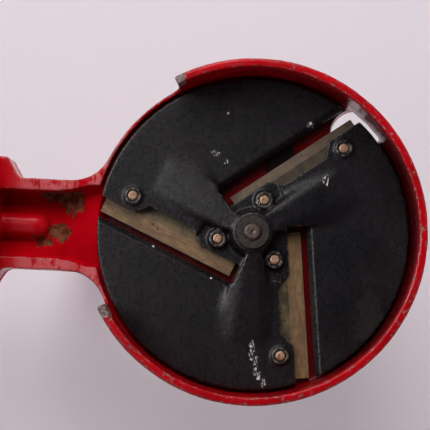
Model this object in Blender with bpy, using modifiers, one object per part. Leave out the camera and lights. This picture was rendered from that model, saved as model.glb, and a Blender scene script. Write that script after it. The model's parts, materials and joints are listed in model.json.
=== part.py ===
"""Hand cranked disc slicer with a table clamp.

A cast iron pan stands on a neck above a C clamp. A three blade cutter disc turns in the pan, driven
by a crank on the far side. Food goes in through a slanted feed tube at the back (+Y), and the
slices leave through the slots of the disc on the open side (-Y).

Metres, +Z up. The origin lies on the clamp's upper jaw face, which rests on the table top. The drive
shaft lies along Y, straight above it. Clock angles are seen from the open side: 0 is up and 90 is +X.
"""
import math

import bmesh
import bpy

MM = 0.001
GAP = 0.3 * MM

# Driving dimensions
SHAFT_HEIGHT = 138 * MM
DISC_RADIUS = 77.6 * MM
DISC_THICKNESS = 4.5 * MM
PAN_WALL = 1.7 * MM
RIM_HEIGHT = 22.5 * MM
RIM_LIP = 2.5 * MM
RIM_GAP_START = 151.4
RIM_GAP_END = 240.4
NECK_HALF_WIDTH = 22.7 * MM
NECK_WALL = 6 * MM
CRANK_RADIUS = 95 * MM
GRIP_LENGTH = 80 * MM
FEED_BORE_RADIUS = 12.4 * MM
BLADE_COUNT = 3
FIRST_BLADE_ANGLE = 84.4

# Pan, from the open side to the back
PAN_INNER_RADIUS = DISC_RADIUS + 1.7 * MM
PAN_OUTER_RADIUS = PAN_INNER_RADIUS + PAN_WALL
PAN_FLOOR = DISC_THICKNESS + 4.5 * MM
PAN_BACK = PAN_FLOOR + 4 * MM
BOSS_BACK = 40 * MM
BOSS_RADIUS = 14 * MM
BUSH_RADIUS = 7.7 * MM
SHAFT_RADIUS = 5 * MM
SHAFT_END_RADIUS = 4.15 * MM

# Neck and clamp
CHANNEL_FLOOR = 17 * MM
NECK_BACK = 22.5 * MM
JAW_HALF_WIDTH = 34 * MM
JAW_FRONT = -34 * MM
JAW_THICKNESS = 10 * MM
CLAMP_BOTTOM = -70 * MM
CLAMP_SCREW_Y = -12 * MM
CLAMP_SCREW_RADIUS = 6 * MM
PAD_TOP = -34 * MM
PAD_THICKNESS = 5 * MM
WING_TOP = -97.5 * MM
WING_BOTTOM = -113.5 * MM

# Feed tube: clock angle and distance of the bore's centre in the pan's floor, then its upward slant
FEED_CLOCK_ANGLE = -46.8
FEED_DISTANCE = 73.3 * MM
FEED_SLANT = math.radians(6)
FEED_TUBE_BACK = 27 * MM
FEED_TUBE_WALL = 3 * MM
FEED_FUNNEL = 8 * MM

# Blades and rivets, in a sector's own frame: "along" runs outwards and "ahead" towards the cut
BLADE_BACK_EDGE = 6.5 * MM
BLADE_BEVEL = 16.3 * MM
BLADE_EDGES = (24.2 * MM, 24.2 * MM, 21.2 * MM)
BLADE_INNER_END = 0.7 * MM
BLADE_OUTER_END = 73.2 * MM
BLADE_THICKNESS = 1.5 * MM
SLOT_INNER_END = -1.8 * MM
HOLDER_EDGE = 17.3 * MM
SLOT_FAR_EDGE = 26.8 * MM
SLOT_NEAR_EDGE = 29.6 * MM
SCALLOP_EDGE = 11.3 * MM
RIVET_AHEAD = 10.3 * MM
RIVET_ALONG = (14 * MM, 61.3 * MM)
RIVET_RADIUS = 2.3 * MM
RIVET_BOSS_RADIUS = 5 * MM

# Crank
CRANK_HUB_FRONT = BOSS_BACK + 0.8 * MM
CRANK_HUB_BACK = CRANK_HUB_FRONT + 12 * MM
CRANK_ARM_THICKNESS = 7 * MM
GRIP_FRONT = CRANK_HUB_BACK + 4 * MM
GRIP_PIN_RADIUS = 3.2 * MM

ROUND_STEPS = 96
SMALL_STEPS = 32
ALONG_Y = (-math.pi / 2, 0, 0)
UPRIGHT_PLATE = (math.pi / 2, 0, 0)
SIDE_PLATE = (math.pi / 2, 0, math.pi / 2)

parts = None
cutters = None


# Scene helpers

def clear_scene():
    for item in list(bpy.data.objects):
        bpy.data.objects.remove(item, do_unlink=True)


def new_collection(name):
    collection = bpy.data.collections.new(name)
    bpy.context.scene.collection.children.link(collection)
    return collection


def material(name, colour, roughness, metallic):
    made = bpy.data.materials.new(name)
    made.use_nodes = True
    shader = made.node_tree.nodes["Principled BSDF"]
    shader.inputs["Base Color"].default_value = (*colour, 1)
    shader.inputs["Roughness"].default_value = roughness
    shader.inputs["Metallic"].default_value = metallic
    made.diffuse_color = (*colour, 1)
    return made


def add_tool(name, data, location=(0, 0, 0), rotation=(0, 0, 0)):
    """A helper solid that a part is cut or joined with."""
    tool = bpy.data.objects.new(name, data)
    tool.location = location
    tool.rotation_euler = rotation
    tool.hide_render = True
    tool.display_type = "WIRE"
    cutters.objects.link(tool)
    return tool


def as_part(solid, name, finish):
    """Turns a helper solid into one of the object's own parts."""
    cutters.objects.unlink(solid)
    parts.objects.link(solid)
    solid.name = name
    solid.hide_render = False
    solid.display_type = "TEXTURED"
    solid.data.materials.clear()
    solid.data.materials.append(finish)
    return solid


def combine(target, tool, operation):
    boolean = target.modifiers.new(operation.lower() + "_" + tool.name, "BOOLEAN")
    boolean.operation = operation
    boolean.solver = "EXACT"
    boolean.object = tool
    return target


def cut(target, tool):
    return combine(target, tool, "DIFFERENCE")


def join(target, tool):
    return combine(target, tool, "UNION")


# Shapes

def arc(centre, radius, start, end, steps):
    """Points on an arc from start to end, in degrees."""
    points = []
    for step in range(steps + 1):
        angle = math.radians(start + (end - start) * step / steps)
        points.append((centre[0] + radius * math.cos(angle), centre[1] + radius * math.sin(angle)))
    return points


def clock_point(angle, distance):
    """X and Z of a point at a clock angle about the shaft."""
    turn = math.radians(angle)
    return distance * math.sin(turn), SHAFT_HEIGHT + distance * math.cos(turn)


def turned(name, profile, location=(0, 0, SHAFT_HEIGHT), rotation=ALONG_Y, steps=SMALL_STEPS, ring=False):
    """A turned solid. The profile's (radius, height) points run down its outer side."""
    mesh = bpy.data.meshes.new(name)
    points = [(radius, 0, height) for radius, height in profile]
    edges = [(index, index + 1) for index in range(len(points) - 1)]
    if ring:
        edges.append((len(points) - 1, 0))
    mesh.from_pydata(points, edges, [])
    solid = add_tool(name, mesh, location, rotation)
    screw = solid.modifiers.new("turn", "SCREW")
    screw.steps = steps
    screw.render_steps = steps
    screw.use_merge_vertices = True
    screw.merge_threshold = 0.00001
    return solid


def cylinder(name, radius, low, high, location=(0, 0, SHAFT_HEIGHT), rotation=ALONG_Y, steps=SMALL_STEPS):
    return turned(name, [(0, high), (radius, high), (radius, low), (0, low)], location, rotation, steps)


def tube(name, inner, outer, low, high, location=(0, 0, SHAFT_HEIGHT), rotation=ALONG_Y, steps=SMALL_STEPS):
    profile = [(outer, high), (outer, low), (inner, low), (inner, high)]
    return turned(name, profile, location, rotation, steps, ring=True)


def as_mesh(shape):
    """Replaces a filled curve by the closed mesh that it draws."""
    bpy.context.view_layer.update()
    seen = shape.evaluated_get(bpy.context.evaluated_depsgraph_get())
    mesh = bpy.data.meshes.new_from_object(seen)
    work = bmesh.new()
    work.from_mesh(mesh)
    bmesh.ops.remove_doubles(work, verts=work.verts, dist=0.00001)
    bmesh.ops.recalc_face_normals(work, faces=work.faces)
    work.to_mesh(mesh)
    work.free()
    solid = add_tool(shape.name + "_solid", mesh)
    solid.matrix_world = shape.matrix_world
    bpy.data.objects.remove(shape, do_unlink=True)
    return solid


def plate(name, outline, front, back, centre=(0, 0), rotation=UPRIGHT_PLATE):
    """A flat plate. Its outline is in X and Z about the centre, and its thickness along Y."""
    curve = bpy.data.curves.new(name, "CURVE")
    curve.dimensions = "2D"
    curve.fill_mode = "BOTH"
    curve.extrude = (back - front) / 2
    spline = curve.splines.new("POLY")
    spline.points.add(len(outline) - 1)
    for point, (across, up) in zip(spline.points, outline):
        point.co = (across, up, 0, 1)
    spline.use_cyclic_u = True
    location = (centre[0], (front + back) / 2, centre[1])
    return as_mesh(add_tool(name, curve, location, rotation))


def side_plate(name, outline, half_width):
    """A flat plate in the YZ plane, as wide as given each side of X = 0."""
    return plate(name, outline, -half_width, half_width, rotation=SIDE_PLATE)


def block(name, low, high):
    work = bmesh.new()
    bmesh.ops.create_cube(work, size=1)
    for vertex in work.verts:
        for axis in range(3):
            middle = (low[axis] + high[axis]) / 2
            vertex.co[axis] = middle + vertex.co[axis] * (high[axis] - low[axis])
    mesh = bpy.data.meshes.new(name)
    work.to_mesh(mesh)
    work.free()
    return add_tool(name, mesh)


def hull(name, points, angle=0.0):
    """The convex solid around the points, turned about the shaft by a clock angle."""
    work = bmesh.new()
    for point in points:
        work.verts.new(point)
    bmesh.ops.convex_hull(work, input=work.verts)
    bmesh.ops.recalc_face_normals(work, faces=work.faces)
    mesh = bpy.data.meshes.new(name)
    work.to_mesh(mesh)
    work.free()
    return add_tool(name, mesh, (0, 0, SHAFT_HEIGHT), (0, math.radians(angle), 0))


def hull_of_circles(first, first_radius, second, second_radius, steps=12):
    """The outline of a belt around two circles that lie one above the other."""
    upper = arc(first, first_radius, 0, 180, steps)
    lower = arc(second, second_radius, 180, 360, steps)
    return upper + lower


# Body casting

def neck_side(foot_rise):
    """One side of the neck, from its foot at the clamp jaw up to its flare into the pan."""
    jaw_top = JAW_THICKNESS - SHAFT_HEIGHT
    foot_radius = 5 * MM
    foot_slope = 60
    foot = (NECK_HALF_WIDTH + foot_radius, jaw_top + foot_rise)
    foot_arc = arc(foot, foot_radius, 180 + foot_slope, 180, 5)
    foot_reach = JAW_HALF_WIDTH - 0.8 * MM
    drop = (foot_reach - foot_arc[0][0]) / math.tan(math.radians(foot_slope))
    foot_end = (foot_reach, foot_arc[0][1] - drop)
    flare_radius = 20 * MM
    flare_x = NECK_HALF_WIDTH + flare_radius
    reach = PAN_OUTER_RADIUS + flare_radius
    flare = (flare_x, -math.sqrt(reach ** 2 - flare_x ** 2))
    meets_pan = math.degrees(math.atan2(-flare[1], -flare[0]))
    side = [(foot_reach, jaw_top - 6 * MM), foot_end] + foot_arc
    side += arc(flare, flare_radius, 180, meets_pan, 8)
    return side + [(20 * MM, -62 * MM)]


def neck_outline():
    """The neck. Its foot flares out higher up on the -X side."""
    left = neck_side(13 * MM)
    return neck_side(7 * MM) + [(-across, up) for across, up in reversed(left)]


def channel_cutter():
    """The open channel down the neck: straight sides below, wider at the pan, with a ramp up to it."""
    half = NECK_HALF_WIDTH - NECK_WALL
    corner = 5 * MM
    bottom = JAW_THICKNESS - SHAFT_HEIGHT - 3 * MM
    right = arc((half - corner, bottom + corner), corner, 270, 360, 4)
    right += [(half, -98 * MM), (half + 1.2 * MM, -90 * MM), (half + 3.6 * MM, -82 * MM)]
    right.append((half + 3.6 * MM, -70 * MM))
    outline = right + [(-across, up) for across, up in reversed(right)]
    channel = plate("channel", outline, -5 * MM, CHANNEL_FLOOR + 5 * MM, centre=(0, SHAFT_HEIGHT))
    above_floor = PAN_FLOOR - 0.2 * MM
    side = [
        (-10 * MM, 6 * MM), (CHANNEL_FLOOR, 6 * MM), (CHANNEL_FLOOR, SHAFT_HEIGHT - 98 * MM),
        (above_floor + 1.5 * MM, SHAFT_HEIGHT - 84 * MM), (above_floor, SHAFT_HEIGHT - 79 * MM),
        (above_floor, SHAFT_HEIGHT - 60 * MM), (-10 * MM, SHAFT_HEIGHT - 60 * MM),
    ]
    return combine(channel, side_plate("channel_side", side, 30 * MM), "INTERSECT")


def rim_cutter():
    """Takes the rim away above the neck, and leaves a rounded step in the wall at both ends."""
    reach = 130 * MM
    step_radius = 6 * MM
    ends = [math.radians(RIM_GAP_START), math.radians(RIM_GAP_END)]
    middle = (ends[0] + ends[1]) / 2
    corners = [(0, 0)]
    for turn in (ends[0], middle, ends[1]):
        corners.append((reach * math.sin(turn), reach * math.cos(turn)))
    cutter = plate("rim_gap", corners, -60 * MM, 0, centre=(0, SHAFT_HEIGHT))
    work = bmesh.new()
    work.from_mesh(cutter.data)
    deepest = min(vertex.co.z for vertex in work.verts)
    low_edges = [
        edge for edge in work.edges
        if all(abs(vertex.co.z - deepest) < MM for vertex in edge.verts)
        and any(vertex.co.xy.length < MM for vertex in edge.verts)
        and all(len(face.verts) > 2 for face in edge.link_faces)
        and edge.calc_face_angle(0) > 1
    ]
    bmesh.ops.bevel(work, geom=low_edges, offset=step_radius, segments=5, profile=0.5, affect="EDGES")
    work.to_mesh(cutter.data)
    work.free()
    return cutter


def feed_tube_place():
    """Where the feed tube's axis crosses the pan's floor, and its turn: backwards and upwards."""
    across, up = clock_point(FEED_CLOCK_ANGLE, FEED_DISTANCE)
    return (across, PAN_FLOOR, up), (FEED_SLANT - math.pi / 2, 0, 0)


def feed_tube_length():
    """From the pan's floor to the open end, along the tube's axis."""
    reach = (FEED_TUBE_BACK - PAN_FLOOR) / math.cos(FEED_SLANT)
    return reach - (FEED_BORE_RADIUS + FEED_TUBE_WALL) * math.tan(FEED_SLANT)


def add_feed_tube(body):
    outer = FEED_BORE_RADIUS + FEED_TUBE_WALL
    length = feed_tube_length()
    bead = outer + 1.6 * MM
    profile = [(0, length), (bead, length), (bead, length - 4 * MM), (outer, length - 6 * MM),
               (outer, -4 * MM), (0, -4 * MM)]
    join(body, turned("feed_tube", profile, *feed_tube_place(), 40))


def cut_feed_bore(body):
    """A round bore with a funnel at its open end."""
    length = feed_tube_length()
    beyond = length + 20 * MM
    flare = FEED_BORE_RADIUS + 2 * MM
    profile = [(0, beyond), (flare + 5 * MM, beyond), (flare, length + 0.7 * MM),
               (FEED_BORE_RADIUS, length - FEED_FUNNEL), (FEED_BORE_RADIUS, -5 * MM), (0, -5 * MM)]
    cut(body, turned("feed_bore", profile, *feed_tube_place(), 36))


def add_back_rib(body, angle):
    """A tapering rib on the pan's back, from the bearing boss towards the wall."""
    half = 2.2 * MM
    inner, outer = 10 * MM, 74 * MM
    points = []
    for across in (-half, half):
        points += [(across, PAN_BACK - MM, inner), (across, PAN_BACK - MM, outer)]
        points += [(across, PAN_BACK + 15 * MM, inner), (across, PAN_BACK + MM, outer)]
    join(body, hull("back_rib_%d" % angle, points, angle))


def clamp_frame_outline():
    """The C frame of the clamp, seen from the side, open towards -Y."""
    inside = 10 * MM
    arm_top = CLAMP_BOTTOM + 15 * MM
    outside = arc((NECK_BACK - 14 * MM, CLAMP_BOTTOM + 14 * MM), 14 * MM, 0, -90, 6)
    inner = arc((inside - 7 * MM, arm_top + 7 * MM), 7 * MM, 270, 360, 5)
    outline = [(inside, 5 * MM), (NECK_BACK, 5 * MM)] + outside
    outline += [(CLAMP_SCREW_Y, CLAMP_BOTTOM), (CLAMP_SCREW_Y, arm_top)]
    return outline + inner


def body_casting(finish):
    lip = PAN_OUTER_RADIUS + RIM_LIP
    profile = [
        (0, PAN_BACK), (PAN_OUTER_RADIUS - 2.5 * MM, PAN_BACK), (PAN_OUTER_RADIUS, PAN_BACK - 2.5 * MM),
        (PAN_OUTER_RADIUS, 6 * MM - RIM_HEIGHT), (lip, 4.5 * MM - RIM_HEIGHT),
        (lip, 0.8 * MM - RIM_HEIGHT), (lip - 0.8 * MM, -RIM_HEIGHT), (0, -RIM_HEIGHT),
    ]
    body = turned("pan", profile, steps=ROUND_STEPS)
    cut(body, rim_cutter())
    join(body, plate("neck", neck_outline(), 0, NECK_BACK, centre=(0, SHAFT_HEIGHT)))
    add_feed_tube(body)
    cut_feed_bore(body)
    cut(body, cylinder("cavity", PAN_INNER_RADIUS, -60 * MM, PAN_FLOOR, steps=ROUND_STEPS))
    cut(body, channel_cutter())

    rib_radius = 6.5 * MM
    rib_top = SHAFT_HEIGHT - 109.5 * MM
    rib = [(rib_radius * math.cos(math.radians(lift)), rib_top + rib_radius * math.sin(math.radians(lift)))
           for lift in (90, 67.5, 45, 22.5, 0)]
    rib += [(rib_radius, 7 * MM), (0, 7 * MM)]
    join(body, turned("neck_rib", rib, (0, CHANNEL_FLOOR - 1.5 * MM, 0), (0, 0, 0), 24))

    jaw = block("jaw", (-JAW_HALF_WIDTH, JAW_FRONT, 0), (JAW_HALF_WIDTH, NECK_BACK, JAW_THICKNESS))
    rounding = jaw.modifiers.new("rounding", "BEVEL")
    rounding.width = 3 * MM
    rounding.segments = 2
    rounding.limit_method = "ANGLE"
    join(body, jaw)
    join(body, side_plate("clamp_frame", clamp_frame_outline(), 12 * MM))
    at_screw = (0, CLAMP_SCREW_Y, 0)
    join(body, cylinder("screw_boss", 12.5 * MM, CLAMP_BOTTOM, CLAMP_BOTTOM + 20 * MM, at_screw, (0, 0, 0)))

    for angle in (40, 110, 250):
        add_back_rib(body, angle)
    boss = [(0, BOSS_BACK), (BOSS_RADIUS - MM, BOSS_BACK), (BOSS_RADIUS, BOSS_BACK - MM),
            (BOSS_RADIUS + 3 * MM, PAN_BACK - MM), (0, PAN_BACK - MM)]
    join(body, turned("bearing_boss", boss, steps=40))

    cut(body, cylinder("bush_bore", BUSH_RADIUS + GAP, 0, 60 * MM, steps=36))
    screw_bore = CLAMP_SCREW_RADIUS + GAP
    cut(body, cylinder("screw_bore", screw_bore, -100 * MM, -20 * MM, at_screw, (0, 0, 0), 28))
    return as_part(body, "body_casting", finish)


# Cutter disc, in sector frames

def in_sector(along, ahead, y=0.0):
    """A point of a sector's frame, before the sector is turned to its clock angle."""
    return -ahead, y, along


def sector_plate(name, outline, front, back, angle):
    """A plate from (along, ahead) points, turned about the shaft to the sector's clock angle."""
    flat = [(-ahead, along) for along, ahead in outline]
    turn = (math.pi / 2, math.radians(angle), 0)
    return plate(name, flat, front, back, centre=(0, SHAFT_HEIGHT), rotation=turn)


def sector_place(along, ahead, angle):
    """World X and Z of a point in a sector's frame."""
    turn = math.radians(angle)
    across = along * math.sin(turn) - ahead * math.cos(turn)
    return across, SHAFT_HEIGHT + along * math.cos(turn) + ahead * math.sin(turn)


def slot_outline():
    """The slot, with a scallop in the holder's edge between the two rivets."""
    inner, outer = 21 * MM, 57 * MM
    ease = 6 * MM
    mid = (HOLDER_EDGE + SCALLOP_EDGE) / 2
    return [
        (SLOT_INNER_END, SLOT_FAR_EDGE), (SLOT_INNER_END, HOLDER_EDGE),
        (inner, HOLDER_EDGE), (inner + ease / 2, mid), (inner + ease, SCALLOP_EDGE),
        (outer - ease, SCALLOP_EDGE), (outer - ease / 2, mid), (outer, HOLDER_EDGE),
        (90 * MM, HOLDER_EDGE), (90 * MM, SLOT_FAR_EDGE),
    ]


def slot_chamfer(name, angle):
    """Slopes the slot's far wall, so that it opens towards the outlet side."""
    points = []
    for along in (SLOT_INNER_END - 0.4 * MM, 88 * MM):
        points.append(in_sector(along, SLOT_FAR_EDGE - 1.3 * MM, DISC_THICKNESS + 0.7 * MM))
        points.append(in_sector(along, SLOT_FAR_EDGE - 1.3 * MM, -MM))
        points.append(in_sector(along, SLOT_NEAR_EDGE + 0.6 * MM, -MM))
    return hull(name, points, angle)


def sector_hump(name, angle):
    """The raised fan of a sector: high at the hub, falling outwards, steep on its trailing side."""
    base = ((2, -4), (2, 4), (25, -14.5), (50, -23), (59, -14), (58, 5), (40, 8.5), (25, 7))
    top = ((4, -3, 6), (4, 3, 6), (25, -7, 3.9), (25, 3.5, 3.9), (52, -14, 0.6), (52, 3, 0.6))
    points = [in_sector(along * MM, ahead * MM, 1.5 * MM) for along, ahead in base]
    points += [in_sector(along * MM, ahead * MM, -height * MM) for along, ahead, height in top]
    return hull(name, points, angle)


def cutter_disc(finish):
    chamfer = 0.7 * MM
    profile = [(0, DISC_THICKNESS), (DISC_RADIUS, DISC_THICKNESS), (DISC_RADIUS, chamfer),
               (DISC_RADIUS - chamfer, 0), (0, 0)]
    disc = turned("disc_blank", profile, steps=ROUND_STEPS)
    pocket_end = SLOT_INNER_END - 0.9 * MM
    pocket = [(pocket_end, 0), (pocket_end, SLOT_FAR_EDGE + 0.6 * MM), (22 * MM, SLOT_FAR_EDGE + 0.6 * MM),
              (25 * MM, 14 * MM), (23 * MM, 6 * MM), (12 * MM, 0)]
    angles = [FIRST_BLADE_ANGLE + 360 / BLADE_COUNT * index for index in range(BLADE_COUNT)]
    for index, angle in enumerate(angles, 1):
        cut(disc, sector_plate("pocket_%d" % index, pocket, -5 * MM, 2 * MM, angle))
        join(disc, sector_hump("hump_%d" % index, angle))
    hub = [(0, 1.5 * MM), (12.5 * MM, 1.5 * MM), (11 * MM, -3 * MM), (9.5 * MM, -6.5 * MM), (0, -6.5 * MM)]
    join(disc, turned("hub", hub, steps=48))
    for index, angle in enumerate(angles, 1):
        for place, along in enumerate(RIVET_ALONG):
            across, up = sector_place(along, RIVET_AHEAD, angle)
            profile = [(0, 3 * MM), (RIVET_BOSS_RADIUS + 0.6 * MM, 3 * MM),
                       (RIVET_BOSS_RADIUS - 0.7 * MM, -1.6 * MM), (0, -1.6 * MM)]
            join(disc, turned("boss_%d_%d" % (index, place), profile, (across, 0, up), steps=24))
    for index, angle in enumerate(angles, 1):
        back = DISC_THICKNESS + 2 * MM
        cut(disc, sector_plate("slot_%d" % index, slot_outline(), -12 * MM, back, angle))
        cut(disc, slot_chamfer("slot_chamfer_%d" % index, angle))
        for place, along in enumerate(RIVET_ALONG):
            across, up = sector_place(along, RIVET_AHEAD, angle)
            hole = "rivet_hole_%d_%d" % (index, place)
            cut(disc, cylinder(hole, RIVET_RADIUS + GAP, -12 * MM, 10 * MM, (across, 0, up), steps=20))
    cut(disc, cylinder("shaft_hole", SHAFT_END_RADIUS + GAP, -20 * MM, 10 * MM, steps=24))
    return as_part(disc, "cutter_disc", finish)


def blade(index, angle, edge, finish):
    """A flat steel blade on the food side of the disc, ground to its edge from the outlet side."""
    front = DISC_THICKNESS + GAP
    back = front + BLADE_THICKNESS
    points = []
    for along in (BLADE_INNER_END, BLADE_OUTER_END):
        points += [in_sector(along, BLADE_BEVEL, front), in_sector(along, edge, back - 0.35 * MM)]
        points.append(in_sector(along, edge, back))
    corners = ((BLADE_INNER_END, 12 * MM), (8 * MM, BLADE_BACK_EDGE), (BLADE_OUTER_END, BLADE_BACK_EDGE))
    for along, ahead in corners:
        points += [in_sector(along, ahead, front), in_sector(along, ahead, back)]
    made = hull("blade_blank_%d" % index, points, angle)
    for place, along in enumerate(RIVET_ALONG):
        across, up = sector_place(along, RIVET_AHEAD, angle)
        hole = cylinder("blade_hole_%d_%d" % (index, place), RIVET_RADIUS + GAP, -MM, 12 * MM,
                        (across, 0, up), steps=20)
        cut(made, hole)
    return as_part(made, "blade_%d" % index, finish)


def blade_rivet(number, along, angle, finish):
    """A rivet through the disc and its blade, with a low head on the food side."""
    head_front = DISC_THICKNESS + 2 * GAP + BLADE_THICKNESS
    head_back = head_front + 0.9 * MM
    tail = -2.2 * MM
    profile = [
        (0, head_back), (RIVET_RADIUS + 0.8 * MM, head_back), (RIVET_RADIUS + 1.4 * MM, head_front),
        (RIVET_RADIUS, head_front), (RIVET_RADIUS, tail + 0.5 * MM), (RIVET_RADIUS - 0.7 * MM, tail),
        (0, tail),
    ]
    across, up = sector_place(along, RIVET_AHEAD, angle)
    rivet = turned("rivet_blank_%d" % number, profile, (across, 0, up), steps=20)
    return as_part(rivet, "blade_rivet_%d" % number, finish)


# Drive

def drive_shaft(finish):
    """From its peened end in the disc's hub, through the bearing, to the crank and its nut."""
    shoulder = DISC_THICKNESS + GAP
    crank_seat = CRANK_HUB_FRONT - 0.4 * MM
    nut_end = CRANK_HUB_BACK + 12 * MM
    crank_radius = 4.6 * MM
    thread_radius = 3.9 * MM
    front = -9.8 * MM
    profile = [
        (0, nut_end), (thread_radius - MM, nut_end), (thread_radius, nut_end - MM),
        (thread_radius, CRANK_HUB_BACK - MM), (crank_radius, CRANK_HUB_BACK - MM),
        (crank_radius, crank_seat), (SHAFT_RADIUS, crank_seat), (SHAFT_RADIUS, shoulder),
        (SHAFT_END_RADIUS, shoulder), (SHAFT_END_RADIUS, front + MM), (SHAFT_END_RADIUS - MM, front),
        (1.2 * MM, front), (0, front + 0.8 * MM),
    ]
    return as_part(turned("shaft_blank", profile), "drive_shaft", finish)


def crank_arm(finish):
    """A flat tapered arm with a hub at the shaft and a boss for the grip's pin."""
    front = CRANK_HUB_BACK - CRANK_ARM_THICKNESS
    outline = hull_of_circles((0, 0), 10.5 * MM, (0, -CRANK_RADIUS), 7.5 * MM)
    arm = plate("arm", outline, front, CRANK_HUB_BACK - 0.4 * MM, centre=(0, SHAFT_HEIGHT))
    grip_z = SHAFT_HEIGHT - CRANK_RADIUS
    join(arm, cylinder("crank_hub", 11.5 * MM, CRANK_HUB_FRONT, CRANK_HUB_BACK))
    join(arm, cylinder("grip_boss", 9 * MM, front - MM, GRIP_FRONT - 1.5 * MM, (0, 0, grip_z)))
    cut(arm, cylinder("crank_bore", 4.6 * MM + GAP, 20 * MM, 90 * MM, steps=28))
    cut(arm, cylinder("pin_bore", GRIP_PIN_RADIUS + GAP, 20 * MM, 90 * MM, (0, 0, grip_z), steps=28))
    return as_part(arm, "crank_arm", finish)


def crank_nut(finish):
    front = CRANK_HUB_BACK + 2.1 * MM
    nut = cylinder("nut_blank", 7.6 * MM, front, front + 6.5 * MM, steps=6)
    cut(nut, cylinder("nut_bore", 3.9 * MM + GAP, 20 * MM, 90 * MM, steps=24))
    return as_part(nut, "crank_nut", finish)


def grip(finish):
    """A turned wooden grip: narrow at the arm, a long swell, and a rounded end."""
    length = GRIP_LENGTH
    swell = 14 * MM
    bore = GRIP_PIN_RADIUS + GAP
    outline = [(bore, 0)]
    outline += [(9.5 * MM, 0), (10.4 * MM, 1.5 * MM), (10.2 * MM, 5 * MM), (9.2 * MM, 8 * MM)]
    for step in range(1, 12):
        along = step / 12
        bulge = math.sin(math.pi * along ** 0.85)
        outline.append((9.2 * MM + (swell - 9.2 * MM) * bulge, 8 * MM + (length - 12 * MM) * along))
    outline += [(9.6 * MM, length - 2.5 * MM), (7.5 * MM, length), (bore, length)]
    profile = [(radius, GRIP_FRONT + along) for radius, along in reversed(outline)]
    place = (0, 0, SHAFT_HEIGHT - CRANK_RADIUS)
    return as_part(turned("grip_blank", profile, place, ring=True), "grip", finish)


def grip_pin(finish):
    """The pin that the grip turns on, riveted into the arm."""
    front = CRANK_HUB_BACK - CRANK_ARM_THICKNESS - 3 * MM
    washer_back = GRIP_FRONT + GRIP_LENGTH + 2.2 * MM
    head = washer_back + 2.2 * MM
    profile = [
        (0, head), (3.6 * MM, head - 0.3 * MM), (5 * MM, washer_back + 0.6 * MM), (5 * MM, washer_back),
        (GRIP_PIN_RADIUS, washer_back), (GRIP_PIN_RADIUS, front + 0.6 * MM),
        (GRIP_PIN_RADIUS - 0.6 * MM, front), (0, front),
    ]
    place = (0, 0, SHAFT_HEIGHT - CRANK_RADIUS)
    return as_part(turned("grip_pin_blank", profile, place, steps=24), "grip_pin", finish)


# Clamp

def clamp_screw(finish):
    """The screw, with a spigot for the pad on top and a reduced end for the wing below."""
    thread_top = PAD_TOP - PAD_THICKNESS - GAP
    spigot_top = thread_top + 3.4 * MM
    thread_bottom = WING_TOP + GAP
    bottom = WING_BOTTOM - MM
    radius = CLAMP_SCREW_RADIUS
    profile = [
        (0, spigot_top), (3.6 * MM, spigot_top), (3.6 * MM, thread_top), (radius - MM, thread_top),
        (radius, thread_top - MM), (radius, thread_bottom), (4.8 * MM, thread_bottom),
        (4.8 * MM, bottom + MM), (3.8 * MM, bottom), (0, bottom),
    ]
    screw = turned("screw_blank", profile, (0, CLAMP_SCREW_Y, 0), (0, 0, 0))
    cut(screw, wing_pin_bore("screw_pin_bore"))
    return as_part(screw, "clamp_screw", finish)


def wing_pin_bore(name):
    place = (0, CLAMP_SCREW_Y, (WING_TOP + WING_BOTTOM) / 2)
    return cylinder(name, 1.5 * MM + GAP, -30 * MM, 30 * MM, place, steps=16)


def clamp_wing(finish):
    """The thumb piece: a hub on the screw with two rounded ears."""
    middle = (WING_TOP + WING_BOTTOM) / 2
    ear_x = 21 * MM
    right = arc((ear_x, 1.5 * MM), 9.5 * MM, -110, 110, 10)
    waist = [(8 * MM, 6 * MM), (0, 6 * MM)]
    outline = [(0, -5 * MM), (8 * MM, -5 * MM)] + right + waist
    outline += [(-across, up) for across, up in reversed(outline[1:-1])]
    front, back = CLAMP_SCREW_Y - 3 * MM, CLAMP_SCREW_Y + 3 * MM
    wing = plate("wing_plate", outline, front, back, centre=(0, middle))
    at_screw = (0, CLAMP_SCREW_Y, 0)
    join(wing, cylinder("wing_hub", 8.5 * MM, WING_BOTTOM, WING_TOP, at_screw, (0, 0, 0)))
    cut(wing, cylinder("wing_bore", 4.8 * MM + GAP, -200 * MM, -50 * MM, at_screw, (0, 0, 0), 28))
    cut(wing, wing_pin_bore("wing_pin_hole"))
    return as_part(wing, "clamp_wing", finish)


def wing_pin(finish):
    place = (0, CLAMP_SCREW_Y, (WING_TOP + WING_BOTTOM) / 2)
    pin = cylinder("pin_blank", 1.5 * MM, -9 * MM, 9 * MM, place, steps=16)
    return as_part(pin, "wing_pin", finish)


def clamp_pad(finish):
    """The round pad that turns on the screw's spigot and presses under the table."""
    low = PAD_TOP - PAD_THICKNESS
    socket_top = low + 3.6 * MM
    profile = [(0, PAD_TOP), (13 * MM, PAD_TOP), (14 * MM, PAD_TOP - MM), (14 * MM, PAD_TOP - 2.5 * MM),
               (7.5 * MM, low), (3.9 * MM, low), (3.9 * MM, socket_top), (0, socket_top)]
    pad = turned("pad_blank", profile, (0, CLAMP_SCREW_Y, 0), (0, 0, 0))
    return as_part(pad, "clamp_pad", finish)


def smooth(item):
    """Round faces shade smoothly, flat ones keep their edges."""
    if item.data.polygons:
        item.data.shade_smooth()
        item.data.set_sharp_from_angle(angle=math.radians(35))


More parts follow.
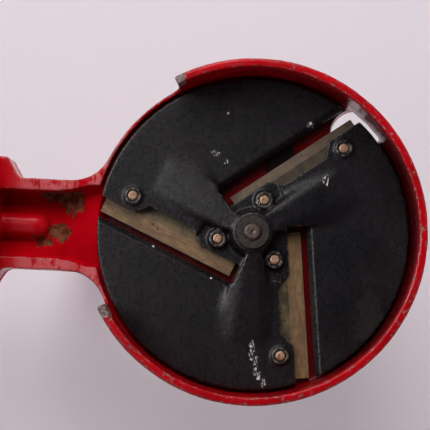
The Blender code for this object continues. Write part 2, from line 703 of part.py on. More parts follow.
def build():
    global parts, cutters
    clear_scene()
    parts = new_collection("disc_slicer")
    cutters = new_collection("cutters")

    red = material("red_enamel", (0.52, 0.004, 0.012), 0.25, 0.0)
    black = material("black_casting", (0.022, 0.02, 0.024), 0.45, 0.0)
    steel = material("worn_blade_steel", (0.3, 0.2, 0.12), 0.5, 0.6)
    copper = material("copper_rivet", (0.36, 0.17, 0.09), 0.5, 0.7)
    rusty = material("rusty_steel", (0.12, 0.07, 0.045), 0.6, 0.6)
    grey = material("grey_steel", (0.12, 0.115, 0.11), 0.45, 0.7)
    bronze = material("bearing_bronze", (0.4, 0.26, 0.1), 0.45, 0.9)
    wood = material("turned_wood", (0.32, 0.13, 0.045), 0.45, 0.0)

    body_casting(red)
    as_part(tube("bush", SHAFT_RADIUS + GAP, BUSH_RADIUS, PAN_FLOOR, BOSS_BACK), "bearing_bush", bronze)
    cutter_disc(black)
    for index in range(BLADE_COUNT):
        angle = FIRST_BLADE_ANGLE + 360 / BLADE_COUNT * index
        blade(index + 1, angle, BLADE_EDGES[index], steel)
        for place, along in enumerate(RIVET_ALONG, 1):
            blade_rivet(2 * index + place, along, angle, copper)
    hub_face = -6.5 * MM - GAP
    washer = tube("hub_ring", SHAFT_END_RADIUS + GAP, 8.1 * MM, hub_face - 1.6 * MM, hub_face)
    as_part(washer, "hub_washer", grey)
    drive_shaft(rusty)
    collar_front = DISC_THICKNESS + GAP
    collar = tube("collar", SHAFT_RADIUS + GAP, 9.3 * MM, collar_front, PAN_FLOOR - GAP)
    as_part(collar, "thrust_collar", grey)

    crank_arm(black)
    washer = tube("crank_ring", 3.9 * MM + GAP, 9 * MM, CRANK_HUB_BACK + GAP, CRANK_HUB_BACK + 1.8 * MM)
    as_part(washer, "crank_washer", grey)
    crank_nut(grey)
    grip(wood)
    grip_pin(grey)
    grip_back = GRIP_FRONT + GRIP_LENGTH
    at_grip = (0, 0, SHAFT_HEIGHT - CRANK_RADIUS)
    washer = tube("grip_ring", GRIP_PIN_RADIUS + GAP, 7 * MM, grip_back + GAP, grip_back + 1.9 * MM, at_grip)
    as_part(washer, "grip_washer", grey)

    clamp_screw(grey)
    clamp_wing(red)
    wing_pin(grey)
    clamp_pad(grey)
    for item in parts.objects:
        smooth(item)


build()
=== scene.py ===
"""Looks of the hand cranked disc slicer: cast skins, worn finishes, studio light and camera.

Everything is in metres in the CAD frame: +Z up, shaft along Y, the open side faces -Y.
"""
import json
import math

import bmesh
import bpy
from mathutils import Matrix, Vector, noise


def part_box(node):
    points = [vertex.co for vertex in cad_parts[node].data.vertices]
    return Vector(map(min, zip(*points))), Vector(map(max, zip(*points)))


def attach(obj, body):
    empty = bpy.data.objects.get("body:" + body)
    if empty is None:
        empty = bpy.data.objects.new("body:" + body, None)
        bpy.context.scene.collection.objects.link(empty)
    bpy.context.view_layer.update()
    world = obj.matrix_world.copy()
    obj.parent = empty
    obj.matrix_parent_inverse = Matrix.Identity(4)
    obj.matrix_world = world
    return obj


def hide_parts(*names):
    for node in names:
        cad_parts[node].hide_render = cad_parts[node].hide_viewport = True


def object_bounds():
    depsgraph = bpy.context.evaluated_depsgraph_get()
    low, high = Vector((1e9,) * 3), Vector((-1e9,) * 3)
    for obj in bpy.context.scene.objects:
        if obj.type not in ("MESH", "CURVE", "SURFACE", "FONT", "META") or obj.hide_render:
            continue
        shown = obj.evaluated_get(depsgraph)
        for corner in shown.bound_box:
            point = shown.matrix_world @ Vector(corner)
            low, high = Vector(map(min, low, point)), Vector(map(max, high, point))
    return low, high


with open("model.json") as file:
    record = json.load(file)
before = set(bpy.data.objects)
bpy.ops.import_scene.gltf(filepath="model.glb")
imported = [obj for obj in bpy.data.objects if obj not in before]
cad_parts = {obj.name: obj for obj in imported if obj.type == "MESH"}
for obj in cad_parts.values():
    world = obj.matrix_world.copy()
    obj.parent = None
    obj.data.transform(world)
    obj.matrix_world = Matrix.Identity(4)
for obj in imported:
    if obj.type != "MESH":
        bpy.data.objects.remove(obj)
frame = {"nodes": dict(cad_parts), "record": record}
CAD_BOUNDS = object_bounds()

MM = 0.001
NODES = frame["nodes"]
BODIES = frame["record"]["behaviour"]["bodies"]
BODY_OF = {node: body for body, members in BODIES.items() for node in members}


def middle(node):
    low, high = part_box(node)
    return (Vector(low) + Vector(high)) / 2


# Places worked out from the frame
SHAFT = middle("drive_shaft")
SHAFT_Z = SHAFT.z

# Depths of the body casting's surfaces along Y
PAN_FLOOR = 9 * MM
CHANNEL_FLOOR = 17 * MM
RIM_FRONT = -22.5 * MM


def at_shaft(across, up, y=0.0):
    """A place given in millimetres from the shaft's axis."""
    return Vector((across * MM, y, SHAFT_Z + up * MM))


def sector_axes(index):
    """A blade's outward and cutting directions, from its two rivets."""
    inner = middle("blade_rivet_%d" % (2 * index - 1)) - SHAFT
    outer = middle("blade_rivet_%d" % (2 * index)) - SHAFT
    inner.y = outer.y = 0
    outwards = (outer - inner).normalized()
    cutting = (inner - outwards * inner.dot(outwards)).normalized()
    return outwards, cutting


SECTORS = [sector_axes(index) for index in (1, 2, 3)]
RIVETS = [middle("blade_rivet_%d" % index) for index in range(1, 7)]


# Node graph helper

class Graph:
    """A short way to write one material's nodes."""

    def __init__(self, name):
        self.material = bpy.data.materials.new(name)
        self.material.use_nodes = True
        self.tree = self.material.node_tree
        self.shader = self.tree.nodes["Principled BSDF"]
        self.place = self.add("ShaderNodeTexCoord").outputs["Object"]

    def add(self, kind, settings=None, **inputs):
        node = self.tree.nodes.new(kind)
        for key, value in (settings or {}).items():
            setattr(node, key, value)
        for key, value in inputs.items():
            self.feed(node.inputs[key.replace("_", " ")], value)
        return node

    def feed(self, socket, value):
        if isinstance(value, bpy.types.NodeSocket):
            self.tree.links.new(value, socket)
        else:
            socket.default_value = value

    def set(self, name, value):
        self.feed(self.shader.inputs[name], value)

    def math(self, operation, first, second=0.0):
        node = self.tree.nodes.new("ShaderNodeMath")
        node.operation = operation
        self.feed(node.inputs[0], first)
        self.feed(node.inputs[1], second)
        return node.outputs[0]

    def scaled(self, factors, turn=(0, 0, 0)):
        node = self.add("ShaderNodeMapping", Vector=self.place, Scale=factors, Rotation=turn)
        return node.outputs["Vector"]

    def noise(self, scale, detail=4.0, rough=0.55, vector=None, distortion=0.0):
        node = self.add("ShaderNodeTexNoise", Scale=scale, Detail=detail, Roughness=rough,
                        Distortion=distortion, Vector=vector or self.place)
        return node.outputs["Fac"]

    def ramp(self, value, low, high):
        """0 below low and 1 above high, smooth between them."""
        node = self.tree.nodes.new("ShaderNodeMapRange")
        node.interpolation_type = "SMOOTHSTEP"
        self.feed(node.inputs["Value"], value)
        self.feed(node.inputs["From Min"], low)
        self.feed(node.inputs["From Max"], high)
        return node.outputs["Result"]

    def mix(self, factor, first, second):
        node = self.tree.nodes.new("ShaderNodeMix")
        node.data_type = "RGBA"
        self.feed(node.inputs[0], factor)
        self.feed(node.inputs[6], colour4(first))
        self.feed(node.inputs[7], colour4(second))
        return node.outputs[2]

    def fall(self, value, low, high):
        """1 below low and 0 above high, smooth between them."""
        return self.math("SUBTRACT", 1.0, self.ramp(value, low, high))

    def blend(self, factor, first, second):
        """The same as mix, for plain numbers."""
        node = self.tree.nodes.new("ShaderNodeMix")
        node.data_type = "FLOAT"
        self.feed(node.inputs[0], factor)
        self.feed(node.inputs[2], first)
        self.feed(node.inputs[3], second)
        return node.outputs[0]

    def bump(self, height, distance, strength=1.0, normal=None):
        node = self.add("ShaderNodeBump", Height=height, Distance=distance, Strength=strength)
        if normal is not None:
            self.feed(node.inputs["Normal"], normal)
        return node.outputs["Normal"]

    def edges(self, low=0.52, high=0.6):
        """1 on convex edges."""
        pointy = self.add("ShaderNodeNewGeometry").outputs["Pointiness"]
        return self.ramp(pointy, low, high)

    def near(self, centre, radii, ragged=0.35, scale=260.0):
        """A ragged patch around a point, with a radius along each axis."""
        wobble = self.math("MULTIPLY", self.math("SUBTRACT", self.noise(scale), 0.5), 4 * ragged)
        reach = self.math("ADD", self.away_from(centre, radii), wobble)
        return self.fall(reach, 0.85, 1.05)

    def away_from(self, centre, radii):
        """Distance from a point, where 1 is the radius along each axis."""
        away = self.add("ShaderNodeVectorMath", {"operation": "SUBTRACT"})
        self.feed(away.inputs[0], self.place)
        self.feed(away.inputs[1], centre)
        shape = self.add("ShaderNodeVectorMath", {"operation": "DIVIDE"})
        self.feed(shape.inputs[0], away.outputs[0])
        self.feed(shape.inputs[1], radii)
        length = self.add("ShaderNodeVectorMath", {"operation": "LENGTH"})
        self.feed(length.inputs[0], shape.outputs[0])
        return length.outputs["Value"]

    def most(self, values):
        """The highest of several numbers."""
        highest = values[0]
        for value in values[1:]:
            highest = self.math("MAXIMUM", highest, value)
        return highest

    def product(self, values):
        """Several numbers multiplied: a place where all of them hold."""
        result = values[0]
        for value in values[1:]:
            result = self.math("MULTIPLY", result, value)
        return result

    def specks(self, scale, radius, share):
        """Small round specks in a share of the cells of a pattern."""
        cells = self.add("ShaderNodeTexVoronoi", Vector=self.place, Scale=scale)
        pick = self.ramp(self.add("ShaderNodeSeparateColor", Color=cells.outputs["Color"]).outputs[0],
                         1 - share, 1 - share + 0.01)
        return self.math("MULTIPLY", pick, self.fall(cells.outputs["Distance"], radius * 0.6, radius))


def colour4(value):
    return (*value, 1.0) if isinstance(value, tuple) and len(value) == 3 else value


# Finishes

# Ends of the high rim, where its metal is bare: across and up from the shaft, in millimetres
RIM_ENDS = ((41.7, -70.0), (-72.3, -39.5))
# Rust in the channel, as across, up, half width and half height in millimetres
RUST = ((-15.5, -101, 4.5, 8.5), (-12.5, -92, 6.8, 7.5), (8.5, -106, 4.2, 7.0), (3.5, -98, 5.6, 6.0))
# Scratched places of the disc, in the same way
SCRATCHES = (
    (-39.0, -20.0, 1.5, 2.6), (-35.0, -14.0, 1.3, 1.6), (57.0, 2.0, 4.5, 1.4), (64.0, 4.0, 3.6, 1.6),
    (69.5, 5.5, 1.6, 2.0), (73.5, 8.5, 2.2, 1.6), (61.0, 30.7, 6.5, 1.0), (-55.0, 27.0, 1.6, 1.8),
    (-27.0, 35.5, 3.2, 1.5), (-15.0, 2.2, 1.6, 1.2),
)
# White flecks of the disc, as across, up and radius
FLECKS = (
    (-59.6, -14.6, 0.5), (-56.0, 27.0, 0.8), (8.6, -49.0, 0.6), (23.2, -19.5, 0.45), (56.0, 1.6, 0.7),
    (62.5, 2.2, 0.6), (71.5, 6.0, 0.8), (58.0, 30.7, 0.7), (-29.0, 35.0, 0.6), (67.0, 4.5, 0.6),
)


def neck_painted_sheen(graph, axes):
    """Painted sheen: the front faces of the neck's flanges painted pink for the lamps' reflection, in fine
    worn-looking strokes across them.
    """
    front_face = graph.fall(graph.math("ABSOLUTE", axes["Y"]), 0.6 * MM, 1.0 * MM)
    below_pan = graph.fall(axes["Z"], SHAFT_Z - 62 * MM, SHAFT_Z - 56 * MM)
    above_foot = graph.ramp(axes["Z"], SHAFT_Z - 121 * MM, SHAFT_Z - 113 * MM)
    strokes = graph.noise(900.0, 3.0, 0.6, graph.scaled((0.25, 1.0, 1.0)))
    wear = graph.math("ADD", graph.noise(110.0, 4.0, 0.6), graph.math("MULTIPLY", strokes, 0.4))
    return graph.product([front_face, below_pan, above_foot, graph.ramp(wear, 0.60, 0.72)])


def pan_painted_shade(graph, axes):
    """Painted shade in the pan's inside: none at the rim's front, most at the disc and behind it."""
    centre = SHAFT + Vector((0, 0, 0.9 * MM))
    radius = 79.6 * MM
    inside = graph.fall(graph.away_from(centre, (radius, 1.0, radius)), 0.985, 1.0)
    up_to_floor = graph.math("LESS_THAN", axes["Y"], PAN_FLOOR + 1 * MM)
    return graph.product([inside, up_to_floor, graph.ramp(axes["Y"], RIM_FRONT, RIM_FRONT + 11.5 * MM)])


def enamel_chips(graph, axes):
    """Bare iron: on edges, the rim's lip, the rim's low end and both its ends, and as a few specks."""
    edges = graph.edges(0.512, 0.55)
    on_edges = graph.math("MULTIPLY", edges, graph.ramp(graph.noise(420.0, 6.0, 0.7), 0.54, 0.59))
    lip = graph.fall(axes["Y"], RIM_FRONT + 1.2 * MM, RIM_FRONT + 3.0 * MM)
    on_lip = graph.math("MULTIPLY", lip, graph.ramp(graph.noise(330.0, 6.0, 0.72), 0.60, 0.64))
    low_rim = graph.near(at_shaft(58, -57, RIM_FRONT), (24 * MM, 6 * MM, 24 * MM), 0.25, 90.0)
    on_low_rim = graph.math("MULTIPLY", low_rim, graph.ramp(graph.noise(300.0, 5.0, 0.75), 0.57, 0.61))
    ends = [graph.near(at_shaft(across, up, RIM_FRONT + 4 * MM), (4.5 * MM, 7 * MM, 4.5 * MM), 0.2, 500.0)
            for across, up in RIM_ENDS]
    return graph.most([on_edges, on_lip, on_low_rim, graph.specks(85.0, 0.06, 0.12)] + ends)


def channel_rust(graph):
    patches = [(at_shaft(across, up, CHANNEL_FLOOR - 4 * MM), (wide * MM, 7 * MM, high * MM))
               for across, up, wide, high in RUST]
    return graph.most([graph.near(centre, radii) for centre, radii in patches])


def red_enamel():
    """Glossy red enamel: chipped, with painted pink sheen on the neck, painted shade in the pan and a
    painted shadow patch on its floor, and rusty in the channel.
    """
    graph = Graph("red_enamel")
    axes = graph.add("ShaderNodeSeparateXYZ", Vector=graph.place).outputs
    painted_sheen = neck_painted_sheen(graph, axes)
    chips = enamel_chips(graph, axes)
    rust = channel_rust(graph)

    broad = graph.ramp(graph.noise(45.0, 3.0), 0.35, 0.7)
    paint = graph.mix(broad, (0.52, 0.0016, 0.0080), (0.38, 0.0008, 0.0050))
    # painted sheen: pink on the neck's front faces stands in for the lamps' reflection
    pink = graph.mix(graph.noise(800.0, 3.0), (0.56, 0.045, 0.055), (0.60, 0.13, 0.14))
    paint = graph.mix(painted_sheen, paint, pink)
    # painted shade: the pan's inside darkened towards the disc and behind it
    pan_shade = graph.math("MULTIPLY", pan_painted_shade(graph, axes), 0.86)
    paint = graph.mix(pan_shade, paint, (0.030, 0.0006, 0.0014))
    iron_tone = graph.ramp(graph.noise(750.0, 4.0, 0.7), 0.42, 0.58)
    iron = graph.mix(iron_tone, (0.30, 0.21, 0.185), (0.075, 0.045, 0.038))
    rust_tone = graph.ramp(graph.noise(330.0, 5.0, 0.7), 0.38, 0.62)
    rust_colour = graph.mix(rust_tone, (0.095, 0.020, 0.011), (0.235, 0.085, 0.045))
    colour = graph.mix(rust, graph.mix(chips, paint, iron), rust_colour)
    # painted shadow: a dark patch on the pan's floor, seen through a slot of the disc, stands in for shade
    dark_patch = graph.near(at_shaft(-37, 13, PAN_FLOOR), (12 * MM, 4 * MM, 8.5 * MM), 0.15, 150.0)
    graph.set("Base Color", graph.mix(dark_patch, colour, (0.010, 0.003, 0.004)))

    off_floor = graph.math("ABSOLUTE", graph.math("SUBTRACT", axes["Y"], CHANNEL_FLOOR))
    channel_end = graph.near(at_shaft(0, -86, 12 * MM), (44 * MM, 16 * MM, 14 * MM), 0.1)
    dull = graph.most([channel_end, graph.math("LESS_THAN", off_floor, 1.5 * MM)])
    graph.set("Specular IOR Level", graph.blend(dull, 0.35, 0.0))
    worn = graph.most([chips, rust])
    shine = graph.blend(graph.ramp(graph.noise(160.0, 4.0), 0.3, 0.8), 0.16, 0.27)
    graph.set("Roughness", graph.blend(graph.most([worn, painted_sheen]), shine, 0.62))
    height = graph.math("SUBTRACT", graph.math("MULTIPLY", graph.noise(260.0, 3.0), 0.6), worn)
    graph.set("Normal", graph.bump(height, 0.3 * MM, 0.6))
    return graph.material


def white_marks(graph):
    """Marks of use on the disc: strokes in the scratched places, flecks, and a few specks all over."""
    slanted = graph.scaled((0.45, 1.0, 1.2), (0, 0.9, 0))
    strokes = graph.ramp(graph.noise(1500.0, 3.0, 0.6, slanted), 0.53, 0.58)
    places = graph.most([graph.near(at_shaft(across, up), (wide * MM, 12 * MM, high * MM), 0.5, 300.0)
                         for across, up, wide, high in SCRATCHES])
    flecks = [graph.near(at_shaft(across, up), (size * MM, 12 * MM, size * MM), 0.9, 1100.0)
              for across, up, size in FLECKS]
    return graph.most([graph.math("MULTIPLY", places, strokes), graph.specks(70.0, 0.045, 0.10)] + flecks)


def black_casting():
    """Worn black enamel with a gritty surface, dust, bare edges and white marks."""
    graph = Graph("black_casting")
    grit = graph.noise(1300.0, 5.0, 0.7)
    lumps = graph.noise(480.0, 4.0, 0.6)
    cloud = graph.ramp(graph.noise(40.0, 4.0, 0.6), 0.3, 0.72)
    base = graph.mix(cloud, (0.0040, 0.0036, 0.0048), (0.0100, 0.0088, 0.0108))
    rubbed = graph.near(at_shaft(43, 60), (18 * MM, 12 * MM, 7 * MM), 0.6, 140.0)
    base = graph.mix(graph.math("MULTIPLY", rubbed, 0.15), base, (0.050, 0.036, 0.027))
    dust = graph.ramp(graph.noise(620.0, 7.0, 0.8), 0.56, 0.70)
    base = graph.mix(graph.math("MULTIPLY", dust, 0.60), base, (0.055, 0.047, 0.047))
    edge_wear = graph.ramp(graph.noise(500.0, 5.0, 0.7), 0.46, 0.60)
    worn = graph.math("MULTIPLY", graph.edges(0.515, 0.56), edge_wear)
    base = graph.mix(worn, base, (0.20, 0.165, 0.13))
    marks = white_marks(graph)
    graph.set("Base Color", graph.mix(graph.math("MULTIPLY", marks, 0.95), base, (0.70, 0.67, 0.66)))
    graph.set("Specular IOR Level", 0.33)
    shine = graph.blend(graph.ramp(lumps, 0.3, 0.7), 0.23, 0.33)
    graph.set("Roughness", graph.blend(graph.most([worn, marks]), shine, 0.6))
    gritty = graph.bump(grit, 0.30 * MM, 0.7)
    graph.set("Normal", graph.bump(lumps, 0.30 * MM, 0.55, gritty))
    return graph.material


def blade_steel(index, shade):
    """Brown tarnished steel, streaked along the blade and lighter on the ground bevel.

    The shade is painted shade: it darkens the whole blade towards black, from 0 to 1.
    """
    graph = Graph("blade_steel_%d" % index)
    outwards = SECTORS[index - 1][0]
    centred = graph.add("ShaderNodeVectorMath", {"operation": "SUBTRACT"})
    graph.feed(centred.inputs[0], graph.place)
    graph.feed(centred.inputs[1], SHAFT)
    turn = (0, -math.atan2(outwards.x, outwards.z), 0)
    lined_up = graph.add("ShaderNodeMapping", Vector=centred.outputs[0], Rotation=turn).outputs["Vector"]
    along = graph.add("ShaderNodeMapping", Vector=lined_up, Scale=(1.0, 1.0, 0.22)).outputs["Vector"]
    ahead = graph.math("MULTIPLY", graph.add("ShaderNodeSeparateXYZ", Vector=lined_up).outputs["X"], -1.0)
    streak = graph.ramp(graph.noise(620.0, 5.0, 0.65, along), 0.36, 0.64)
    dark_patch = graph.ramp(graph.noise(150.0, 5.0, 0.65), 0.38, 0.66)
    streak = graph.math("MULTIPLY", streak, 0.75)
    bevel = graph.mix(streak, (0.29, 0.180, 0.092), (0.130, 0.077, 0.037))
    bevel = graph.mix(graph.math("MULTIPLY", dark_patch, 0.5), bevel, (0.105, 0.064, 0.038))
    flat = graph.mix(dark_patch, (0.175, 0.130, 0.068), (0.045, 0.038, 0.026))
    on_bevel = graph.ramp(ahead, 16.0 * MM, 16.8 * MM)
    colour = graph.mix(on_bevel, flat, bevel)
    colour = graph.mix(graph.specks(420.0, 0.30, 0.10), colour, (0.030, 0.022, 0.016))
    graph.set("Base Color", graph.mix(shade, colour, (0.030, 0.022, 0.016)))
    graph.set("Metallic", 0.15)
    graph.set("Specular IOR Level", 0.3)
    graph.set("Roughness", graph.blend(dark_patch, 0.42, 0.62))
    graph.set("Normal", graph.bump(graph.noise(1100.0, 4.0, 0.6, along), 0.14 * MM, 0.6))
    return graph.material


def worn_metal(name, dark, light, metallic, rough):
    """A metal of two tones with a fine pitted grain."""
    graph = Graph(name)
    tone = graph.noise(600.0, 5.0, 0.65)
    graph.set("Base Color", graph.mix(graph.ramp(tone, 0.35, 0.65), dark, light))
    graph.set("Metallic", metallic)
    graph.set("Roughness", graph.blend(tone, rough - 0.08, rough + 0.12))
    graph.set("Normal", graph.bump(graph.noise(1080.0, 5.0, 0.7), 0.18 * MM, 0.6))
    return graph.material


def turned_wood():
    """Varnished wood with its grain along the grip, lighter where it is worn."""
    graph = Graph("turned_wood")
    along = graph.scaled((1.0, 0.12, 1.0))
    rings = graph.noise(320.0, 5.0, 0.6, along, 0.6)
    pores = graph.noise(2200.0, 4.0, 0.7, graph.scaled((1.0, 0.06, 1.0)))
    colour = graph.mix(graph.ramp(rings, 0.35, 0.65), (0.30, 0.120, 0.042), (0.165, 0.060, 0.021))
    colour = graph.mix(graph.ramp(pores, 0.60, 0.70), colour, (0.07, 0.026, 0.012))
    worn = graph.math("MULTIPLY", graph.edges(0.51, 0.56), 0.6)
    graph.set("Base Color", graph.mix(worn, colour, (0.40, 0.22, 0.11)))
    graph.set("Roughness", graph.blend(rings, 0.34, 0.50))
    graph.set("Normal", graph.bump(pores, 0.12 * MM, 0.7))
    return graph.material


# Cast skins: rounded copies of the CAD shapes

SOFTENING_ROUNDS = 80


def closed_copy(node):
    """A copy of the node's mesh with its doubled points joined."""
    mesh = NODES[node].data.copy()
    work = bmesh.new()
    work.from_mesh(mesh)
    bmesh.ops.remove_doubles(work, verts=work.verts, dist=0.02 * MM)
    work.to_mesh(mesh)
    work.free()
    return mesh


def bake_modifiers(piece):
    """Puts the shape that the modifiers give into the piece's own mesh."""
    bpy.context.view_layer.update()
    seen = piece.evaluated_get(bpy.context.evaluated_depsgraph_get())
    mesh = bpy.data.meshes.new_from_object(seen)
    piece.modifiers.clear()
    piece.data = mesh


def smooth_step(value, low, high):
    share = min(max((value - low) / (high - low), 0.0), 1.0)
    return share * share * (3 - 2 * share)


def fan_softness(spot):
    """How freely a point of the disc may be smoothed: the fans' slopes, away from slots and bosses."""
    from_shaft = spot - SHAFT
    from_shaft.y = 0
    distance = from_shaft.length
    soft = smooth_step(-spot.y, -0.4 * MM, 0.0)
    soft *= smooth_step(distance, 12.5 * MM, 15.5 * MM) * (1 - smooth_step(distance, 66 * MM, 70 * MM))
    for rivet in RIVETS:
        beside = Vector((spot.x - rivet.x, 0, spot.z - rivet.z)).length
        soft *= smooth_step(beside, 5.8 * MM, 7.6 * MM)
    for outwards, cutting in SECTORS:
        along, ahead = from_shaft.dot(outwards), from_shaft.dot(cutting)
        inside = smooth_step(along, -6 * MM, -3 * MM) * smooth_step(ahead, 8.2 * MM, 10.2 * MM)
        soft *= 1 - inside * (1 - smooth_step(ahead, 31 * MM, 34 * MM))
    return soft


def smooth_where(piece, softness):
    """Smooths the piece's surface by a softness from 0 to 1 at each point."""
    group = piece.vertex_groups.new(name="softness")
    for vertex in piece.data.vertices:
        weight = softness(vertex.co)
        if weight > 0.01:
            group.add([vertex.index], weight, "REPLACE")
    soften = piece.modifiers.new("softening", "SMOOTH")
    soften.vertex_group = "softness"
    soften.factor = 0.5
    soften.iterations = SOFTENING_ROUNDS
    bake_modifiers(piece)
    piece.vertex_groups.clear()


def cast_skin(node, voxel, rounding, finish, wave, wave_size=12 * MM, softness=None):
    """The node's shape with rounded edges and the slightly uneven surface of a casting."""
    piece = bpy.data.objects.new(node + "_skin", closed_copy(node))
    bpy.context.scene.collection.objects.link(piece)
    remesh = piece.modifiers.new("skin", "REMESH")
    remesh.mode = "VOXEL"
    remesh.voxel_size = voxel
    soften = piece.modifiers.new("rounding", "SMOOTH")
    soften.factor = 0.5
    soften.iterations = rounding
    bake_modifiers(piece)
    if softness:
        smooth_where(piece, softness)
    spots = [vertex.co.copy() for vertex in piece.data.vertices]
    normals = [vertex.normal.copy() for vertex in piece.data.vertices]
    moved = []
    for spot, normal in zip(spots, normals):
        lift = noise.noise(spot / wave_size) + 0.5 * noise.noise(spot * 2.3 / wave_size)
        moved.extend(spot + normal * (lift * wave))
    piece.data.vertices.foreach_set("co", moved)
    piece.data.shade_smooth()
    piece.data.materials.clear()
    piece.data.materials.append(finish)
    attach(piece, BODY_OF[node])
    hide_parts(node)
    return piece


# Clamp screw with its real thread

THREAD_PITCH = 3 * MM
THREAD_DEPTH = 1.1 * MM


def thread_radius(crest, height, angle):
    """Radius of a right-hand thread at a height and an angle about its axis."""
    phase = (height / THREAD_PITCH - angle / math.tau) % 1.0
    return crest - THREAD_DEPTH * smooth_step(abs(2 * phase - 1), 0.25, 0.75)


def threaded_screw(finish):
    """The clamp screw: a spigot under the pad, the thread, and a plain tail inside the wing."""
    low, high = (Vector(corner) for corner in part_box("clamp_screw"))
    centre = (low + high) / 2
    crest = (high.x - low.x) / 2
    spigot, tail = 3.6 * MM, 4.8 * MM
    thread_top = high.z - 3.4 * MM
    thread_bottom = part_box("clamp_wing")[1][2] + 0.4 * MM
    chamfer, row_height = 0.5 * MM, 0.25 * MM
    rows = [(high.z, spigot - chamfer, False), (high.z - chamfer, spigot, False)]
    rows.append((thread_top, spigot, False))
    thread_rows = int((thread_top - thread_bottom) / row_height)
    for step in range(thread_rows + 1):
        height = thread_top + (thread_bottom - thread_top) * step / thread_rows
        rows.append((height, crest, True))
    rows += [(thread_bottom, tail, False), (low.z + MM, tail, False), (low.z, tail - MM, False)]
    steps = 40
    points, faces = [], []
    for height, radius, cut in rows:
        for step in range(steps):
            angle = math.tau * step / steps
            reach = thread_radius(radius, height, angle) if cut else radius
            points.append((centre.x + reach * math.cos(angle), centre.y + reach * math.sin(angle), height))
    for row in range(len(rows) - 1):
        for step in range(steps):
            beside = (step + 1) % steps
            first, second = row * steps, (row + 1) * steps
            faces.append((first + step, second + step, second + beside, first + beside))
    faces.append(tuple(range(steps)))
    faces.append(tuple(reversed(range((len(rows) - 1) * steps, len(rows) * steps))))
    mesh = bpy.data.meshes.new("clamp_screw_thread")
    mesh.from_pydata(points, [], faces)
    piece = bpy.data.objects.new("clamp_screw_thread", mesh)
    bpy.context.scene.collection.objects.link(piece)
    mesh.shade_smooth()
    mesh.set_sharp_from_angle(angle=math.radians(50))
    mesh.materials.append(finish)
    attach(piece, BODY_OF["clamp_screw"])
    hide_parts("clamp_screw")


def finish_node(node, material):
    node_object = NODES[node]
    node_object.data.materials.clear()
    node_object.data.materials.append(material)


def dress():
    """Gives each node its finish, or a finer piece in its place."""
    red = red_enamel()
    black = black_casting()
    copper = worn_metal("copper_rivet", (0.20, 0.105, 0.060), (0.44, 0.265, 0.165), 0.3, 0.50)
    rusty = worn_metal("rusty_steel", (0.046, 0.027, 0.022), (0.12, 0.083, 0.072), 0.4, 0.46)
    grey = worn_metal("grey_steel", (0.018, 0.014, 0.012), (0.050, 0.038, 0.034), 0.4, 0.42)
    bright = worn_metal("clamp_steel", (0.16, 0.13, 0.11), (0.34, 0.31, 0.29), 0.8, 0.36)
    bronze = worn_metal("bearing_bronze", (0.25, 0.14, 0.05), (0.45, 0.28, 0.12), 0.9, 0.4)
    wood = turned_wood()

    cast_skin("body_casting", 0.90 * MM, 4, red, 0.12 * MM)
    cast_skin("cutter_disc", 0.55 * MM, 5, black, 0.04 * MM, 7 * MM, fan_softness)
    cast_skin("crank_arm", 0.60 * MM, 4, black, 0.10 * MM)
    cast_skin("clamp_wing", 0.60 * MM, 4, red, 0.08 * MM)

    threaded_screw(bright)
    # the third blade gets painted shade, darker all over than the other two
    for index, shade in ((1, 0.0), (2, 0.0), (3, 0.70)):
        finish_node("blade_%d" % index, blade_steel(index, shade))
    for index in range(1, 7):
        finish_node("blade_rivet_%d" % index, copper)
    for node, material in {
        "hub_washer": grey, "drive_shaft": rusty, "thrust_collar": grey, "bearing_bush": bronze,
        "crank_washer": bright, "crank_nut": bright, "grip": wood, "grip_pin": bright,
        "grip_washer": bright, "clamp_pad": bright, "wing_pin": bright,
    }.items():
        finish_node(node, material)


# Studio

def plane(name, size, location, rotation=(0, 0, 0)):
    mesh = bpy.data.meshes.new(name)
    half = size / 2
    corners = [(-half, -half, 0), (half, -half, 0), (half, half, 0), (-half, half, 0)]
    mesh.from_pydata(corners, [], [(0, 1, 2, 3)])
    item = bpy.data.objects.new(name, mesh)
    item.location = location
    item.rotation_euler = rotation
    bpy.context.scene.collection.objects.link(item)
    return item


def one_sided(name, first, second, fade_from, fade_to, glow):
    """A pale matt sheet, faintly lit through, that shows on its front side only and fades out."""
    graph = Graph(name)
    graph.set("Base Color", graph.mix(graph.noise(4.0, 2.0), first, second))
    graph.set("Roughness", 0.8)
    graph.set("Specular IOR Level", 0.1)
    graph.set("Emission Color", (*first, 1))
    graph.set("Emission Strength", glow)
    away = graph.add("ShaderNodeVectorMath", {"operation": "LENGTH"})
    graph.feed(away.inputs[0], graph.place)
    behind = graph.add("ShaderNodeNewGeometry").outputs["Backfacing"]
    hidden = graph.math("MAXIMUM", graph.ramp(away.outputs["Value"], fade_from, fade_to), behind)
    clear = graph.add("ShaderNodeBsdfTransparent").outputs[0]
    blend = graph.add("ShaderNodeMixShader")
    graph.feed(blend.inputs[0], hidden)
    graph.feed(blend.inputs[1], graph.shader.outputs[0])
    graph.feed(blend.inputs[2], clear)
    graph.feed(graph.tree.nodes["Material Output"].inputs["Surface"], blend.outputs[0])
    return graph.material


def pale_stage():
    """A pale floor, and a pale sheet behind the object as the surface it is seen against.

    The floor casts no shadow, because some of the lamps are lower than it.
    """
    floor = plane("floor", 4.0, (0, 0, CAD_BOUNDS[0][2] - 0.5 * MM))
    pale = one_sided("pale_floor", (0.80, 0.755, 0.785), (0.84, 0.79, 0.82), 0.9, 1.9, 0.05)
    floor.data.materials.append(pale)
    floor.visible_shadow = False
    sheet = plane("backdrop", 1.6, (0, CAD_BOUNDS[1][1] + 6 * MM, SHAFT_Z), (math.pi / 2, 0, 0))
    pale = one_sided("pale_backdrop", (0.61, 0.568, 0.610), (0.63, 0.587, 0.630), 0.28, 0.60, 0.39)
    sheet.data.materials.append(pale)


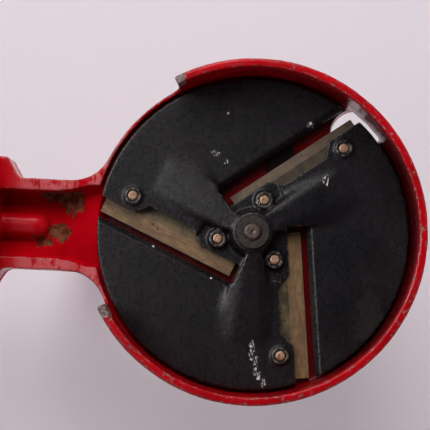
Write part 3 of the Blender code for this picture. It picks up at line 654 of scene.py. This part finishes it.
def softbox(name, location, target, size, power, colour=(1, 1, 1)):
    data = bpy.data.lights.new(name, "AREA")
    data.shape = "SQUARE"
    data.size = size
    data.energy = power
    data.color = colour
    lamp = bpy.data.objects.new(name, data)
    lamp.location = location
    lamp.rotation_euler = (Vector(target) - Vector(location)).to_track_quat("-Z", "Y").to_euler()
    bpy.context.scene.collection.objects.link(lamp)
    return lamp


def pale_world():
    """Pale to look at. As a light it is pale behind the object and dark on the viewer's side."""
    world = bpy.data.worlds.new("studio")
    world.use_nodes = True
    tree = world.node_tree
    place = tree.nodes.new("ShaderNodeTexCoord")
    split = tree.nodes.new("ShaderNodeSeparateXYZ")
    tree.links.new(place.outputs["Generated"], split.inputs[0])
    ramp = tree.nodes.new("ShaderNodeMapRange")
    ramp.interpolation_type = "SMOOTHSTEP"
    ramp.inputs["From Min"].default_value = -0.75
    ramp.inputs["From Max"].default_value = 0.20
    tree.links.new(split.outputs["Y"], ramp.inputs["Value"])
    mix = tree.nodes.new("ShaderNodeMix")
    mix.data_type = "RGBA"
    mix.inputs[6].default_value = (0.035, 0.033, 0.036, 1)
    mix.inputs[7].default_value = (0.50, 0.47, 0.49, 1)
    tree.links.new(ramp.outputs[0], mix.inputs[0])
    seen = tree.nodes.new("ShaderNodeMix")
    seen.data_type = "RGBA"
    seen.inputs[7].default_value = (0.70, 0.635, 0.69, 1)
    tree.links.new(tree.nodes.new("ShaderNodeLightPath").outputs["Is Camera Ray"], seen.inputs[0])
    tree.links.new(mix.outputs[2], seen.inputs[6])
    tree.links.new(seen.outputs[2], tree.nodes["Background"].inputs["Color"])
    bpy.context.scene.world = world


def light():
    """A soft key lamp for the colours, two lamps that only show as reflections, and a weak one behind."""
    pale_world()
    bpy.context.scene.view_settings.view_transform = "Standard"
    aim = Vector((0, 0, SHAFT_Z - 0.02))
    warm = (1.0, 0.985, 0.975)
    key = softbox("key", aim + Vector((-0.68, -0.86, -0.10)), aim, 0.60, 9, warm)
    key.visible_glossy = False
    sheens = (("top_sheen", (-0.90, -0.50, -0.20), 5), ("side_sheen", (-0.25, -0.60, -0.75), 18))
    for name, place, power in sheens:
        sheen = softbox(name, aim + Vector(place), aim, 0.45, power, warm)
        sheen.visible_diffuse = False
    softbox("back_fill", aim + Vector((0.5, 0.8, 0.5)), aim, 0.7, 8)


def camera():
    """Looks at the open side, with the clamp's end of the neck to the left."""
    place = Vector((0.0356, -0.5694, SHAFT_Z - 0.0124))
    target = Vector((-0.0081, 0.0, SHAFT_Z - 0.0189))
    roll = math.radians(-2.47)
    forward = (target - place).normalized()
    up = Vector((0, 0, 1))
    right = (up - forward * up.dot(forward)).normalized()
    right = Matrix.Rotation(roll, 3, forward) @ right
    top = (-forward).cross(right)
    data = bpy.data.cameras.new("main")
    data.sensor_width = 36
    data.lens = 96.1
    item = bpy.data.objects.new("main", data)
    turn = Matrix((right, top, -forward)).transposed().to_4x4()
    item.matrix_world = Matrix.Translation(place) @ turn
    bpy.context.scene.collection.objects.link(item)
    bpy.context.scene.camera = item


dress()
pale_stage()
light()
camera()
